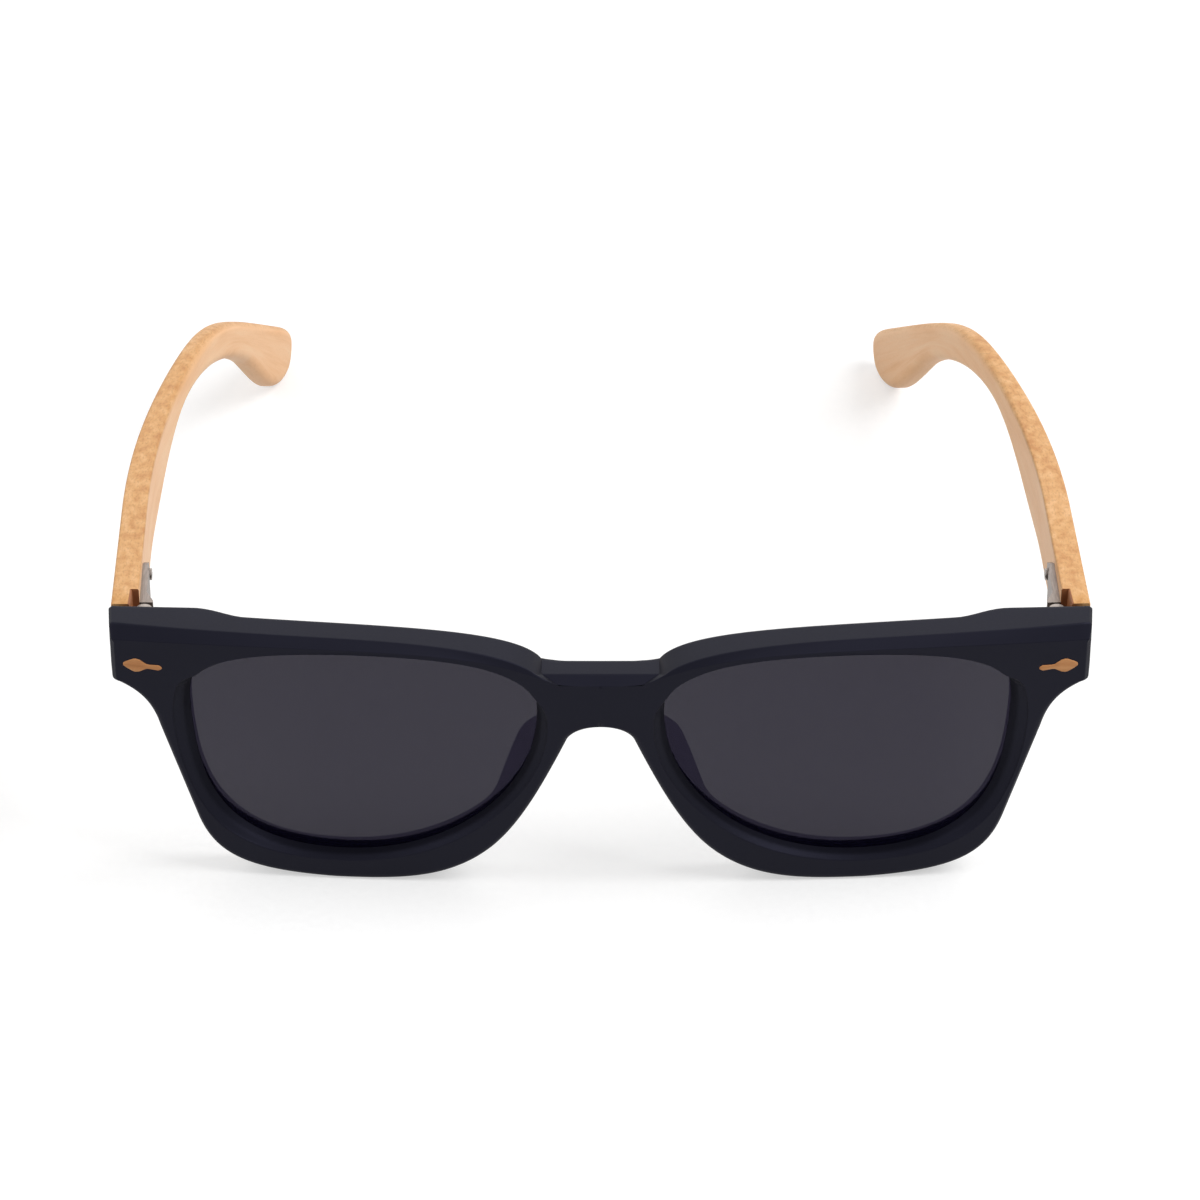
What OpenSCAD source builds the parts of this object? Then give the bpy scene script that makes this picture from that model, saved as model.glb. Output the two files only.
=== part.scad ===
// Sunglasses with a moulded front, bamboo temples and sprung hinges.
// Millimetres. X runs across the face, Y from the front to the ear tips, Z up.
// They stand open on a table: the rims and both tips touch Z = 0.

/* [Front] */
// Width across the lugs
front_w = 144.5; // [141.5:0.5:149.5]
// Height from the bottom of the rims to the brow
front_h = 46.6; // [46:0.1:49]
// Thickness of the rims
front_t = 5.5; // [5.3:0.1:6.5]
// Lean of the front, brow forwards, in degrees
front_tilt = 4.3; // [0:0.1:8]
// Radius of the wrap round the face
wrap_r = 650; // [500:10:2000]
// Height of the rims below the lens openings
rim_low = 4.6; // [4:0.1:5.5]
// Height of the rims above the lens openings
rim_top = 2.8; // [2.4:0.1:3.6]
// Radius of the moulded outer edges
edge_r = 0.6; // [0.3:0.05:0.9]
// Height of the bevel along the brow
brow_bevel_h = 2; // [1.6:0.1:2.4]
// Depth of the bevel along the brow
brow_bevel_d = 1.5; // [1:0.1:2]
// Length of the flat top of the bridge
bridge_flat = 17.4; // [16:0.1:18.5]
// Drop from the brow to the top of the bridge
bridge_drop = 6.6; // [5.5:0.1:7.5]
// Height of the bridge
bridge_h = 9.4; // [7.5:0.1:10]
// Width between the lens openings at the bridge
bridge_gap = 18.9; // [17.5:0.1:21]
// Height of the lug that carries the hinge
lug_h = 10.4; // [9.6:0.1:11]
// Thickness of the lug at its outer end
lug_t = 5.8; // [5.4:0.1:7]
// How far the end of the lug widens towards its back
lug_out = 1.05; // [0.6:0.05:1.2]
// Height of the nose pads behind the rims
pad_h = 4; // [2:0.1:5]
// Lean of a nose pad away from the nose, for each mm of its height
pad_lean = 0.42; // [0:0.05:0.6]
// How much lower the lean is greatest than the pad itself
pad_low = 4.3; // [2:0.1:5]

/* [Lenses] */
// Width of a lens opening
lens_w = 52; // [50:0.1:53]
// Thickness of a lens
lens_t = 1.6; // [1.2:0.1:2]
// Radius of the lens curve
lens_r = 300; // [220:10:900]
// Depth of the lens centre behind the front face
lens_set = 1.5; // [1.2:0.1:1.8]
// Depth of the groove that holds a lens
groove_d = 0.8; // [0.5:0.1:1.2]
// Clearance round a lens in its groove
lens_fit = 0.03; // [0.01:0.01:0.1]

/* [Inlays] */
// Length of the diamond on the lug
inlay_w = 3.75; // [3:0.05:4.6]
// Height of the diamond
inlay_h = 2.5; // [2:0.1:3.4]
// Length of the tail beside the diamond
inlay_tail = 2.05; // [1:0.05:3]
// Thickness of the inlay
inlay_t = 0.9; // [0.6:0.1:1.2]
// Distance from the end of the lug to the inlay
inlay_in = 1.75; // [1:0.05:2]
// Clearance round the inlay
inlay_fit = 0.02; // [0.01:0.01:0.08]

/* [Temples] */
// Reach of a temple from its front end to the ear tip
temple_reach = 143.8; // [138:0.2:150]
// Length of the straight part, up to the bend
temple_straight = 78; // [72:0.5:84]
// Height of the temple from the hinge to the waist
temple_root_h = 10.4; // [9.6:0.1:11.2]
// Length of the stretch of full height, up to the waist
temple_full = 46; // [40:0.5:50]
// Height of the waist, where the bend starts
temple_waist_h = 4.8; // [4.2:0.1:6]
// Thickness of the temple at the hinge
temple_root_t = 3.9; // [3.7:0.1:4.4]
// Thickness of the temple at the ear tip
temple_tip_t = 3.5; // [2.8:0.1:4]
// Drop from the top of the lug to the top of the temple
temple_drop = 0.05; // [0:0.05:1]
// Drop of the top edge along the straight part
temple_fall = 7.4; // [6:0.1:8.5]
// Outward splay of the straight part, in degrees
temple_splay = 1.6; // [0:0.05:2.4]
// Length of the first stretch that has no bow
bow_start = 30; // [26:0.5:34]
// Length of the stretch that bows inwards
bow_len = 49; // [44:0.5:54]
// Radius of the inward bow
bow_r = 236; // [200:2:280]
// Gap between the open temple and the lug
end_gap = 0.3; // [0.2:0.05:0.5]

/* [Hinges] */
// Shank of the hinge screw
pin_d = 1.4; // [1.2:0.1:1.6]
// Outside of the hinge knuckles
knuckle_d = 3; // [2.7:0.1:3.2]
// Height of each knuckle on the front leaf
knuckle_h = 1.7; // [1.4:0.1:1.8]
// Height of the eye between the knuckles
eye_h = 2; // [1.7:0.1:2.2]
// Distance from the lug to the pin axis
pin_back = 2.1; // [2:0.1:2.4]
// Distance from the outer face of the temple to the pin axis
pin_in = 4.65; // [4.5:0.05:5]
// Clearance round the hinge screw
run_fit = 0.03; // [0.02:0.01:0.06]
// Clearance above and below the eye
side_fit = 0.06; // [0.03:0.01:0.1]
// Clearance of pieces that are sunk or dropped in
seat_fit = 0.02; // [0.01:0.01:0.05]
// Width of the front leaf
leaf_w = 6; // [5:0.1:6.4]
// Thickness of the front leaf
leaf_t = 1.2; // [1:0.1:1.5]
// Diameter of the posts that anchor the leaf
post_d = 1.2; // [1:0.1:1.4]
// Length of the posts that anchor the leaf
post_len = 1; // [0.6:0.1:1.2]
// Head of the hinge screw
head_d = 2.4; // [2.2:0.1:2.8]
// Thickness of the screw heads
head_t = 0.5; // [0.4:0.05:0.6]
// Width of the screwdriver slots
slot_w = 0.35; // [0.25:0.05:0.5]
// Distance from the pin axis out to the spring rod
rod_out = 1.7; // [1.5:0.05:1.9]
// Diameter of the spring rod
rod_d = 1; // [0.8:0.1:1.1]
// Diameter of the stop on the rod
stop_d = 2.2; // [2:0.1:2.3]
// Length of the stop on the rod
stop_len = 1; // [0.8:0.1:1.4]
// Distance from the pin axis to the spring housing
housing_start = 2.6; // [2.5:0.05:3]
// Thickness of the wall that the spring pushes on
housing_wall = 1; // [0.8:0.1:1.3]
// Side wall of the housing
housing_side = 0.45; // [0.35:0.05:0.55]
// Length over which the housing flares towards the knuckles
flare_len = 2.8; // [2:0.1:3.6]
// Height of the spring housing
housing_h = 5.2; // [4.6:0.1:5.6]
// Length of the tapered tail of the housing
tail_len = 3; // [2.4:0.1:4]
// Thickness of the tail plate
tail_t = 0.9; // [0.7:0.1:1.2]
// Shank of the housing screw
fix_d = 1; // [0.8:0.1:1.2]
// Length of the housing screw in the wood
fix_len = 2; // [1.5:0.1:2.4]
// Outside of the coil spring
spring_d = 2.1; // [1.9:0.05:2.15]
// Wire of the coil spring
wire_d = 0.35; // [0.25:0.05:0.4]
// Room left between the turns of the coil spring at full travel
spring_spare = 2.5; // [2:0.1:3]
// Turns of the coil spring
spring_turns = 6; // [4:1:6]
// Play between the rod, its stop and the spring
spring_fit = 0.05; // [0.03:0.01:0.08]
// Travel of the housing when a temple is pushed outwards
spring_travel = 1.2; // [1:0.1:1.5]
// How far the right temple rests from its open stop, in degrees
right_rest = 2.6; // [0:0.1:4]

/* [Hidden] */
$fn = 48;

// Curves. A cubic runs through four points, t from 0 to 1.
function cubic(p, t) = p[0] * pow(1 - t, 3) + p[1] * 3 * t * pow(1 - t, 2)
    + p[2] * 3 * t * t * (1 - t) + p[3] * pow(t, 3);
function slope(p, t) = (p[1] - p[0]) * pow(1 - t, 2) + (p[2] - p[1]) * 2 * t * (1 - t)
    + (p[3] - p[2]) * t * t;
function straight(a, b) = [a, (2 * a + b) / 3, (a + 2 * b) / 3, b];
function unit(v) = v / norm(v);
function ease(t) = let(c = min(1, max(0, t))) c * c * (3 - 2 * c);
function mix(a, b, t) = a + (b - a) * t;

// Heights and places on the front, seen square on: x from the middle, h from the rim bottom.
half_w = front_w / 2;
lens_h = front_h - rim_low - rim_top;
lens_x = (bridge_gap + lens_w) / 2;
lens_z = rim_low + lens_h / 2;
nasal_x = bridge_gap / 2;
outer_x = nasal_x + lens_w;
flat_x = bridge_flat / 2;
bridge_top = front_h - bridge_drop;
bridge_low = bridge_top - bridge_h;
lug_low = front_h - lug_h;

// Lens opening: four cubics in shares of its width and height, from the nose clockwise.
LENS = [
    [[-0.5, 0.2], [-0.5, 0.42], [-0.356, 0.495], [0.01, 0.5]],
    [[0.01, 0.5], [0.466, 0.5], [0.497, 0.37], [0.497, 0.2]],
    [[0.497, 0.2], [0.49, -0.185], [0.44, -0.5], [0.07, -0.5]],
    [[0.07, -0.5], [-0.265, -0.5], [-0.5, -0.17], [-0.5, 0.2]]];
function lap(s) = s - 4 * floor(s / 4);
function on_lens(p) = [lens_x + p[0] * lens_w, lens_z + p[1] * lens_h];
function lens_edge(s) = let(k = floor(lap(s))) on_lens(cubic(LENS[k], lap(s) - k));
function lens_out(s) = let(k = floor(lap(s)), v = slope(LENS[k], lap(s) - k))
    unit([-v[1] * lens_h, v[0] * lens_w]);

// Outer edge of one half of the front, from the top of the bridge clockwise.
// Each stretch: cubic, steps, lens stations at its ends, lens bevel at its ends.
TOP = 0;
BROW = 1;
LUG_END = 3;
MIDDLE = 11;
RUNS = [
    [straight([0, bridge_top], [flat_x, bridge_top]), 4, [0.22, 0.45], [0.4, 0.15]],
    [[[flat_x, bridge_top], [flat_x + 4.8, front_h + 0.4], [lens_x + 4.5, front_h - 1.1],
        [half_w - 0.4, front_h]], 20, [0.45, 1.6], [0.15, 0.05]],
    [straight([half_w - 0.4, front_h], [half_w, front_h - 0.4]), 1, [1.6, 1.62], [0.05, 0.1]],
    [straight([half_w, front_h - 0.4], [half_w, lug_low + 1]), 4, [1.62, 1.76], [0.1, 1.5]],
    [[[half_w, lug_low + 1], [half_w, lug_low + 0.4], [half_w - 0.5, lug_low + 0.2],
        [half_w - 1, lug_low]], 2, [1.76, 1.8], [1.5, 1.8]],
    [[[half_w - 1, lug_low], [half_w - 3.8, lug_low - 1.5], [outer_x + 5.2, lug_low - 3.6],
        [outer_x + 4.3, lens_z + 4.3]], 8, [1.8, 2.06], [1.8, 2.2]],
    [straight([outer_x + 4.3, lens_z + 4.3], [outer_x - 0.6, rim_low + 6.4]), 6,
        [2.06, 2.4], [2.2, 1.7]],
    [[[outer_x - 0.6, rim_low + 6.4], [outer_x - 2.9, rim_low - 1.3], [outer_x - 7.4, 0.6],
        [lens_x + 4.5, 0]], 12, [2.4, 3], [1.7, 0.6]],
    [[[lens_x + 4.5, 0], [lens_x - 4.5, 0], [nasal_x + 13.7, 0], [nasal_x + 7.1, rim_low + 2.1]],
        10, [3, 3.46], [0.6, 0.8]],
    [[[nasal_x + 7.1, rim_low + 2.1], [nasal_x + 2.6, rim_low + 6.7], [nasal_x - 0.9, lens_z - 4.9],
        [nasal_x - 4.4, bridge_low - 2.6]], 12, [3.46, 3.93], [0.8, 1.6]],
    [[[nasal_x - 4.4, bridge_low - 2.6], [nasal_x - 5, bridge_low - 1], [2.5, bridge_low],
        [0, bridge_low]], 5, [3.93, 4], [1.6, 1.5]],
    [straight([0, bridge_low], [0, bridge_top]), 4, [4, 4.22], [1.5, 0.4]]];
BROW_CREASE = [[flat_x - 2.75, bridge_top - 1], [flat_x + 9.3, front_h + 0.25 - brow_bevel_h],
    [lens_x - 11.3, front_h + 0.7 - brow_bevel_h], [half_w - 0.4, front_h - brow_bevel_h]];
// Stations round the half: stretch, place along it.
STATIONS = [for (r = [0 : len(RUNS) - 1]) for (i = [0 : RUNS[r][1] - 1]) [r, i / RUNS[r][1]]];
COUNT = len(STATIONS);

function station_lens(r, t) = mix(RUNS[r][2][0], RUNS[r][2][1], t);
function station_bevel(r, t) = mix(RUNS[r][3][0], RUNS[r][3][1], ease(t));
function station_edge(r, t) = cubic(RUNS[r][0], t);
function station_in(r, t) = let(v = unit(slope(RUNS[r][0], t)))
    r == MIDDLE ? [0, 1] : [v[1], -v[0]];
function at_corner(r, t) = r == LUG_END && t == 0 || r == LUG_END - 1;
function inside(r, t) = r == MIDDLE && t > 0;
// Where the front face ends, and how deep the outer edge lies there.
function crease(r, t) =
    r == TOP ? mix([0, bridge_top - 1.1], BROW_CREASE[0], t)
    : r == BROW ? cubic(BROW_CREASE, t)
    : at_corner(r, t) ? [station_edge(r, t)[0] - edge_r / 2, front_h - brow_bevel_h]
    : inside(r, t) ? station_edge(r, t)
    : station_edge(r, t) + station_in(r, t) * edge_r;
function brow_depth(t) = brow_bevel_d * max(1 - 20 * t, 0.17 + 0.83 * ease(t / 0.6));
function edge_depth(r, t) =
    r == TOP ? brow_bevel_d
    : r == BROW ? brow_depth(t)
    : at_corner(r, t) ? brow_bevel_d
    : inside(r, t) ? 0
    : edge_r;
// Rounding of the back edge: half as much along the top as elsewhere.
function back_round(r, t) =
    inside(r, t) ? 0
    : r < LUG_END ? edge_r / 2
    : r == LUG_END ? edge_r * min(1, 0.5 + 2 * t)
    : edge_r;

// Depths behind the front face.
function lens_depth(p) = lens_set + pow(norm(p - [lens_x, lens_z]), 2) / (2 * lens_r);
lug_y = bend([half_w, front_h, lug_t])[1];
function lug_depth(p) = let(a = p[0] / wrap_r * 180 / PI)
    wrap_r - (wrap_r - (lug_y + p[1] * sin(front_tilt)) / cos(front_tilt)) / cos(a);
function pad(p) = pad_h * ease((p[1] - rim_low - 4.4) / 8) * ease((bridge_low + 1.1 - p[1]) / 8)
    * ease((nasal_x + 7 - p[0]) / 7);
function back_depth(p) = let(
        lug = ease((p[0] - outer_x + 8.5) / 8) * ease((p[1] - lug_low + 4) / 4),
        thin = 0.5 * ease((flat_x + 1 - p[0]) / 4) * ease((p[1] - bridge_low + 2) / 4))
    mix(front_t - thin + pad(p), lug_depth(p), lug);

// The flat front bent round the face, then leaned forwards at the brow.
function bend(p) = let(a = p[0] / wrap_r * 180 / PI, x = (wrap_r - p[2]) * sin(a),
        y = wrap_r - (wrap_r - p[2]) * cos(a))
    [x, y * cos(front_tilt) - p[1] * sin(front_tilt), p[1] * cos(front_tilt) + y * sin(front_tilt)];
function deep(p, d) = [p[0], p[1], d];
// Sideways growth of the lug's end at a depth.
function widen(e, d) = [lug_out * d / lug_t * ease((e[0] - half_w + 5) / 4.6), 0];
// One ring of the rim: the lens lip, the front face, the outer edge, the back and the groove.
function ring(r, t) = let(
        s = station_lens(r, t), p = lens_edge(s), n = lens_out(s), w = station_bevel(r, t),
        e = station_edge(r, t), round = back_round(r, t), f = edge_depth(r, t),
        a = e + widen(e, lug_t), k = station_in(r, t), b = a + k * round,
        lean = pad_lean * pad(e + [0, pad_low]),
        front = lens_depth(p) - lens_fit, rear = lens_depth(p) + lens_t + lens_fit)
    [deep(p, front), deep(p + n * 0.4 * w, 0.42 * front), deep(p + n * w, 0.2),
     deep(p + n * (w + 0.1), 0), deep(crease(r, t), 0), deep(e + widen(e, f), f),
     deep(a + k * lean, back_depth(a) - round), deep(b + k * lean, back_depth(b)),
     deep(p + n * (0.9 - lean), back_depth(p + n * 0.9)),
     deep(p + n * (0.2 - lean), back_depth(p) - 0.7), deep(p, rear), deep(p + n * groove_d, rear),
     deep(p + n * groove_d, front)];
COLUMNS = 13;
HALF = [for (s = STATIONS) for (q = ring(s[0], s[1])) bend(q)];
low_z = min([for (q = HALF) q[2]]);
function seat(q) = [q[0], q[1], q[2] - low_z];

// Temple: the outer face in plan, and the top and bottom edges from the side.
temple_y = lug_y + end_gap;
tip_y = temple_y + temple_reach;
bend_y = temple_y + temple_straight;
temple_x = half_w;
root_z = seat(bend([half_w, front_h, lug_t]))[2] - temple_drop;
bend_z = root_z - temple_fall;
waist_z = bend_z - temple_waist_h;
full_y = temple_y + temple_full;
full_z = root_z - temple_fall * temple_full / temple_straight - temple_root_h;
bow_y = temple_y + bow_start;
bow_end = bow_y + bow_len;
bow_slope = bow_len / sqrt(bow_r * bow_r - bow_len * bow_len);
function bow(y) = let(s = min(bow_len, max(0, y - bow_y)))
    bow_r - sqrt(bow_r * bow_r - s * s) + max(0, y - bow_end) * bow_slope;
function outer_face(y) = temple_x + (y - temple_y) * tan(temple_splay) - bow(y);
function thick(y) = mix(temple_root_t, temple_tip_t, ease((y - temple_y - 20) / 60));
TOP_BEND = [[bend_y, bend_z], [bend_y + 20, bend_z - 1.9], [tip_y - 39.8, bend_z - 6.7],
    [tip_y - 6.2, 11]];
TOP_END = [[tip_y - 6.2, 11], [tip_y - 2.9, 8.75], [tip_y, 7], [tip_y, 4.8]];
LOW_END = [[tip_y, 4.8], [tip_y, 1.9], [tip_y - 2, 0], [tip_y - 4.4, 0]];
LOW_TIP = [[tip_y - 4.4, 0], [tip_y - 12.5, 0], [tip_y - 18.9, 8.2], [tip_y - 28.75, 17.45]];
LOW_BEND = [[tip_y - 28.75, 17.45], [tip_y - 38.2, 25.5], [bend_y + 13, waist_z - 1.75],
    [bend_y, waist_z]];
LOW_WAIST = [[bend_y, waist_z], [bend_y - 11, waist_z + 1.2], [full_y + 14.5, full_z + 0.9],
    [full_y, full_z]];
function steps(p, n) = [for (i = [1 : n]) cubic(p, i / n)];
SIDE = concat([[temple_y, root_z - temple_root_h], [temple_y, root_z], TOP_BEND[0]],
    steps(TOP_BEND, 18), steps(TOP_END, 5), steps(LOW_END, 7), steps(LOW_TIP, 14),
    steps(LOW_BEND, 12), steps(LOW_WAIST, 12));
PLAN_Y = concat([temple_y], [for (i = [0 : 10]) bow_y + bow_len * i / 10], [tip_y + 1]);
PLAN_BACK = [for (i = [0 : 14]) mix(tip_y + 1, temple_y, i / 14)];
PLAN = concat([for (y = PLAN_Y) [outer_face(y), y]],
    [for (y = PLAN_BACK) [outer_face(y) - thick(y), y]]);

// Hinge places, seen from above on the right-hand side, measured from the pin.
pin_x = temple_x - pin_in;
pin_y = lug_y + pin_back;
stack_h = 2 * knuckle_h + eye_h + 2 * side_fit;
spring_len = (spring_turns + 1) * wire_d + spring_travel + spring_spare;
pin_z = front_h - lug_h / 2 + 0.2;
leaf_h = stack_h;
wall_x = outer_face(pin_y + housing_start) - thick(pin_y + housing_start) - pin_x;
cavity_d = max(spring_d, stop_d) + 0.25;
housing_in = rod_out - cavity_d / 2 - housing_side;
housing_out = rod_out + cavity_d / 2 + housing_side;
spring_y = housing_start + housing_wall;
stop_y = spring_y + spring_len + 2 * spring_fit;
rod_end = stop_y + stop_len + 0.4;
cavity_end = rod_end + 0.5;
housing_end = cavity_end + 0.8;
tail_end = housing_end + tail_len;
fix_y = housing_end + tail_len * 0.45;
tail_out = wall_x + 0.5;
notch_x = knuckle_d / 2 + 0.35;
arm_out = rod_out + rod_d / 2 + 0.2;
flare_in = 0.4 - knuckle_d / 2;

// The origin is under the middle of the bounding box.
mid_y = (min([for (q = HALF) q[1]]) + tip_y) / 2;
coil_r = (spring_d - wire_d) / 2;
coil_pitch = (spring_len - wire_d) / spring_turns;
echo(coil_gap = coil_pitch - wire_d);

module centred() {
    translate([0, -mid_y, 0]) children();
}

// Puts a right-hand piece on its side, s = 1 right or -1 left.
module on_side(s) {
    centred() mirror([s < 0 ? 1 : 0, 0, 0]) children();
}

// Same for a piece that turns with its temple: the right one rests slightly closed.
module on_temple(s) {
    on_side(s) translate([pin_x, pin_y, pin_z])
        rotate([0, 0, s > 0 ? right_rest : 0]) children();
}

module at_pin(s) {
    on_side(s) translate([pin_x, pin_y, pin_z]) children();
}

// Front

// The two halves share the stations down the middle, where no wall is drawn.
module rim_shell() {
    right = [for (q = HALF) seat(q)];
    left = [for (q = HALF) let(p = seat(q)) [p[0] == 0 ? 0 : -p[0], p[1], p[2]]];
    cells = [for (i = [0 : COUNT - 1]) for (k = [0 : COLUMNS - 1])
        if (STATIONS[i][0] != MIDDLE || k < 4 || k > 6)
            [i * COLUMNS + k, ((i + 1) % COUNT) * COLUMNS + k,
             ((i + 1) % COUNT) * COLUMNS + (k + 1) % COLUMNS, i * COLUMNS + (k + 1) % COLUMNS]];
    base = len(right);
    polyhedron(concat(right, left),
        concat([for (c = cells) [c[0], c[2], c[1]]], [for (c = cells) [c[0], c[3], c[2]]],
            [for (c = cells) [base + c[0], base + c[1], base + c[2]]],
            [for (c = cells) [base + c[0], base + c[2], base + c[3]]]));
}

// Places a flat piece on the front face of the lug, its thickness running back.
module on_lug(s) {
    inlay_x = half_w - inlay_in - inlay_w / 2;
    spot = seat(bend([inlay_x, lug_low + lug_h * 0.37, 0]));
    on_side(s) translate(spot) rotate([90 + front_tilt, 0, inlay_x / wrap_r * 180 / PI])
        rotate([0, 0, 4]) translate([0, 0, -inlay_t]) children();
}

// A diamond whose tail points to the lens, grown by the fit for its pocket.
module diamond(fit) {
    w = inlay_w / 2 + fit;
    h = inlay_h / 2 + fit;
    tail_x = inlay_w / 2 + inlay_tail + fit;
    tail_h = inlay_h * 0.2 + fit;
    polygon([[w, 0], [w * 0.97, h * 0.22], [w * 0.72, h * 0.5], [w * 0.2, h * 0.94], [0, h],
        [-w * 0.3, h * 0.9], [-w * 0.85, tail_h * 0.9], [-w * 1.1, tail_h * 0.8], [-tail_x * 0.86, tail_h],
        [-tail_x * 0.97, tail_h * 0.5], [-tail_x, 0], [-tail_x * 0.97, -tail_h * 0.5],
        [-tail_x * 0.86, -tail_h], [-w * 1.1, -tail_h * 0.8], [-w * 0.85, -tail_h * 0.9],
        [-w * 0.3, -h * 0.9], [0, -h], [w * 0.2, -h * 0.94], [w * 0.72, -h * 0.5],
        [w * 0.97, -h * 0.22]]);
}

module inlay_pocket(s) {
    on_lug(s) translate([0, 0, -inlay_fit]) linear_extrude(inlay_t + inlay_fit + 1) diamond(inlay_fit);
}

// Room for the hinge leaf and its two posts in the back of the lug.
module leaf_pocket(s) {
    at_pin(s) translate([-leaf_w / 2 - seat_fit, -pin_back - leaf_t - seat_fit, -leaf_h / 2 - seat_fit])
        cube([leaf_w + 2 * seat_fit, leaf_t + seat_fit + 1, leaf_h + 2 * seat_fit]);
    leaf_posts(s, seat_fit);
}

module leaf_posts(s, fit) {
    for (x = [-1, 1])
        at_pin(s) translate([x * leaf_w / 4, -pin_back - leaf_t + 0.2, 0]) rotate([90, 0, 0])
            cylinder(d = post_d + 2 * fit, h = post_len + 0.2 + fit);
}

module front_frame() {
    color("#23222b") difference() {
        centred() rim_shell();
        for (s = [-1, 1]) {
            inlay_pocket(s);
            leaf_pocket(s);
        }
    }
}

// Lenses

// Rings of the lens from its edge to the centre, front and back alike.
RINGS = [1, 0.75, 0.5, 0.25];
function lens_point(i, f, back) = let(
        s = station_lens(STATIONS[i][0], STATIONS[i][1]),
        p = lens_edge(s) + lens_out(s) * (groove_d - lens_fit),
        q = mix([lens_x, lens_z], p, f))
    seat(bend(deep(q, lens_depth(q) + back)));

module lens(s) {
    n = COUNT;
    rows = len(RINGS);
    skin = [for (b = [0, lens_t]) for (f = RINGS) for (i = [0 : n - 1]) lens_point(i, f, b)];
    centres = [for (b = [0, lens_t]) seat(bend([lens_x, lens_z, lens_set + b]))];
    back = rows * n;
    mid = 2 * rows * n;
    on_side(s) polyhedron(concat(skin, centres), concat(
        [for (j = [0 : rows - 2]) for (i = [0 : n - 1]) [j * n + i, j * n + (i + 1) % n, (j + 1) * n + i]],
        [for (j = [0 : rows - 2]) for (i = [0 : n - 1])
            [j * n + (i + 1) % n, (j + 1) * n + (i + 1) % n, (j + 1) * n + i]],
        [for (i = [0 : n - 1]) [(rows - 1) * n + i, (rows - 1) * n + (i + 1) % n, mid]],
        [for (j = [0 : rows - 2]) for (i = [0 : n - 1])
            [back + j * n + i, back + (j + 1) * n + i, back + j * n + (i + 1) % n]],
        [for (j = [0 : rows - 2]) for (i = [0 : n - 1])
            [back + j * n + (i + 1) % n, back + (j + 1) * n + i, back + (j + 1) * n + (i + 1) % n]],
        [for (i = [0 : n - 1]) [back + (rows - 1) * n + i, mid + 1, back + (rows - 1) * n + (i + 1) % n]],
        [for (i = [0 : n - 1]) [i, back + i, (i + 1) % n]],
        [for (i = [0 : n - 1]) [(i + 1) % n, back + i, back + (i + 1) % n]]));
}

module lens_left() {
    color("#45404a") lens(-1);
}

module lens_right() {
    color("#45404a") lens(1);
}

module inlay_left() {
    color("#c8925f") on_lug(-1) linear_extrude(inlay_t) diamond(0);
}

module inlay_right() {
    color("#c8925f") on_lug(1) linear_extrude(inlay_t) diamond(0);
}

// Hinge on the front: a sunk plate with two posts and two knuckles.
module hinge_leaf(s) {
    difference() {
        union() {
            at_pin(s) translate([-leaf_w / 2, -pin_back - leaf_t, -leaf_h / 2])
                cube([leaf_w, leaf_t, leaf_h]);
            leaf_posts(s, 0);
            for (z = [-stack_h / 2, stack_h / 2 - knuckle_h]) at_pin(s) translate([0, 0, z]) {
                cylinder(d = knuckle_d, h = knuckle_h);
                translate([-knuckle_d / 2, -pin_back - leaf_t / 2, 0])
                    cube([knuckle_d, pin_back + leaf_t / 2, knuckle_h]);
            }
        }
        at_pin(s) translate([0, 0, -stack_h]) cylinder(d = pin_d + 2 * run_fit, h = 2 * stack_h);
    }
}

module hinge_leaf_left() {
    color("#9b9a98") hinge_leaf(-1);
}

module hinge_leaf_right() {
    color("#9b9a98") hinge_leaf(1);
}

// Hinge screw: a slotted head above the knuckles and a shank through all three.
module hinge_screw(s) {
    top = stack_h / 2 + run_fit;
    at_pin(s) difference() {
        union() {
            translate([0, 0, -stack_h / 2]) cylinder(d = pin_d, h = stack_h + run_fit);
            translate([0, 0, top]) cylinder(d = head_d, h = head_t);
        }
        translate([-head_d, -slot_w / 2, top + head_t / 2]) cube([2 * head_d, slot_w, head_t]);
    }
}

module hinge_screw_left() {
    color("#b5b3b0") hinge_screw(-1);
}

module hinge_screw_right() {
    color("#b5b3b0") hinge_screw(1);
}

// Sprung side of the hinge, measured from the pin: y runs back along the temple.

module rod_way(d, from, to) {
    translate([rod_out, from, 0]) rotate([-90, 0, 0]) cylinder(d = d, h = to - from);
}

// Eye, arm and rod in one piece. The rod passes through the housing and the spring.
module spring_carriage(s) {
    arm_end = housing_start - spring_fit;
    on_temple(s) difference() {
        union() {
            translate([0, 0, -eye_h / 2]) cylinder(d = knuckle_d, h = eye_h);
            translate([-0.4, 0, -eye_h / 2]) cube([arm_out + 0.4, arm_end, eye_h]);
            rod_way(rod_d, arm_end - 0.5, rod_end);
        }
        translate([0, 0, -eye_h]) cylinder(d = pin_d + 2 * run_fit, h = 2 * eye_h);
    }
}

module spring_carriage_left() {
    color("#a9a7a4") spring_carriage(-1);
}

module spring_carriage_right() {
    color("#a9a7a4") spring_carriage(1);
}

// Bush pressed on the end of the rod.
module spring_stop(s) {
    on_temple(s) difference() {
        rod_way(stop_d, stop_y, stop_y + stop_len);
        rod_way(rod_d + 2 * seat_fit, stop_y - 1, stop_y + stop_len + 1);
    }
}

module spring_stop_left() {
    color("#8f8d8b") spring_stop(-1);
}

module spring_stop_right() {
    color("#8f8d8b") spring_stop(1);
}

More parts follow.
